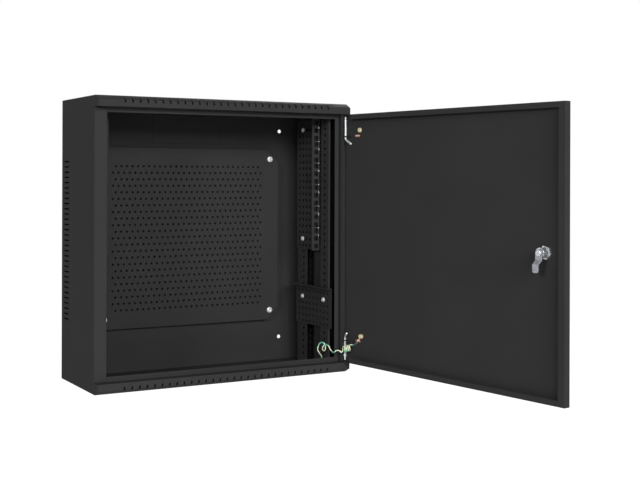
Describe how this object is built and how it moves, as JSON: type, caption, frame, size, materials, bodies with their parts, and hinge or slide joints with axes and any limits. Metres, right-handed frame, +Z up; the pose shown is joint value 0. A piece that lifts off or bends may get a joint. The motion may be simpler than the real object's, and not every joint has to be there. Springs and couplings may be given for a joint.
{
  "type": "wall-mounted network rack cabinet",
  "caption": "Shallow wall-hung steel rack cabinet with its door open: rack rails with square holes, punched uprights, side bracket, mounting plate, cam lock, lift-off hinge pins and earth lead.",
  "frame": {"origin": "middle of the back panel's outer face, where the cabinet meets the wall", "axes": "+X to the right as seen from the front, +Y towards the wall, +Z up"},
  "size_m": [0.6181, 0.7192, 0.542],
  "materials": {
    "body_coat": "fine satin powder coat, near black grey",
    "inner_coat": "fine satin powder coat, near black grey",
    "chrome": "bright plated",
    "zinc": "bright zinc plate",
    "brass": "plain brass",
    "wire_sleeve": "green and yellow insulated wire sleeve"
  },
  "bodies": {
    "cabinet": {"side_panel_left": "body_coat", "side_panel_right": "body_coat", "top_cover": "body_coat", "bottom_cover": "body_coat", "back_panel": "inner_coat", "upright_front_left": "inner_coat", "upright_rear_left": "inner_coat", "rack_rail_left": "inner_coat", "rail_screw_lower_left": "zinc", "rail_screw_upper_left": "zinc", "upright_front_right": "inner_coat", "upright_rear_right": "inner_coat", "rack_rail_right": "inner_coat", "rail_screw_lower_right": "zinc", "rail_screw_upper_right": "zinc", "side_bracket": "inner_coat", "bracket_screw_front": "zinc", "bracket_screw_rear": "zinc", "mounting_plate": "inner_coat", "plate_spacer_lower_left": "zinc", "plate_screw_lower_left": "zinc", "plate_spacer_upper_left": "zinc", "plate_screw_upper_left": "zinc", "plate_spacer_lower_right": "zinc", "plate_screw_lower_right": "zinc", "plate_spacer_upper_right": "zinc", "plate_screw_upper_right": "zinc", "floor_earth_stud": "brass", "floor_earth_nut": "brass", "floor_earth_terminal": "zinc", "earth_wire": "wire_sleeve"},
    "door": {"door_panel": "body_coat", "pin_guide_upper": "body_coat", "pin_guide_lower": "body_coat", "door_earth_stud_upper": "brass", "door_earth_nut_upper": "brass", "door_earth_stud_lower": "brass", "door_earth_nut_lower": "brass", "door_earth_terminal": "zinc", "lock_body": "chrome", "lock_nut": "chrome"},
    "lock_cam_set": {"lock_plug": "chrome", "lock_cam": "chrome", "cam_nut": "chrome"},
    "upper_pin": {"hinge_pin_upper": "zinc"},
    "lower_pin": {"hinge_pin_lower": "zinc"}
  },
  "joints": [
    {"name": "door_hinge", "type": "hinge", "parent": "cabinet", "child": "door", "pos_m": [0.2635, -0.1909, 0], "axis": [0, 0, 1], "range_deg": [-98.64, 81.36], "deforming": ["earth_wire"]},
    {"name": "cam_turn", "type": "hinge", "parent": "door", "child": "lock_cam_set", "pos_m": [0.33681, -0.67336, 0], "axis": [-0.9887, -0.1502, 0], "range_deg": [0, 90]},
    {"name": "upper_pin_slide", "type": "slide", "parent": "door", "child": "upper_pin", "axis": [0, 0, -1], "range_m": [0, 0.008]},
    {"name": "lower_pin_slide", "type": "slide", "parent": "door", "child": "lower_pin", "axis": [0, 0, 1], "range_m": [0, 0.008]}
  ]
}
